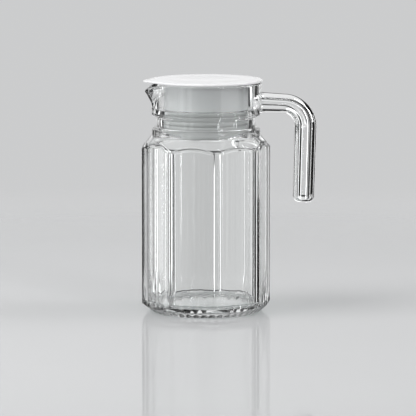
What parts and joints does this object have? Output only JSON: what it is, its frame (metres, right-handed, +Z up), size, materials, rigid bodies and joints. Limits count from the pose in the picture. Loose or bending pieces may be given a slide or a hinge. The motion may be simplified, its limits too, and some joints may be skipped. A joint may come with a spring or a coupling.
{
  "type": "lidded glass jug",
  "caption": "Clear glass jug with flat panels, round collar, pouring lip and an open-ended rod handle, closed by a white beaked lid with a ribbed seal on its plug.",
  "frame": {"origin": "on the jug's axis, at the plane its foot ring stands on", "axes": "+Z up along the jug's axis, +X towards the handle, -X towards the pouring lip and the lid's beak"},
  "size_m": [0.1461, 0.1072, 0.192],
  "materials": {
    "clear_glass": "clear fire-polished soda-lime glass",
    "soft_seal": "translucent milky soft plastic, satin",
    "white_plastic": "white moulded plastic, satin"
  },
  "bodies": {
    "jug": {"jug_body": "clear_glass", "jug_handle": "clear_glass"},
    "seal": {"seal_sleeve": "soft_seal"},
    "lid": {"lid": "white_plastic"}
  },
  "joints": [
    {"name": "lid_lift", "type": "slide", "parent": "jug", "child": "seal", "axis": [0, 0, 1], "range_m": [0, 0.06]},
    {"name": "lid_twist", "type": "hinge", "parent": "seal", "child": "lid", "pos_m": [0, 0, 0.19], "axis": [0, 0, 1], "continuous": true}
  ]
}
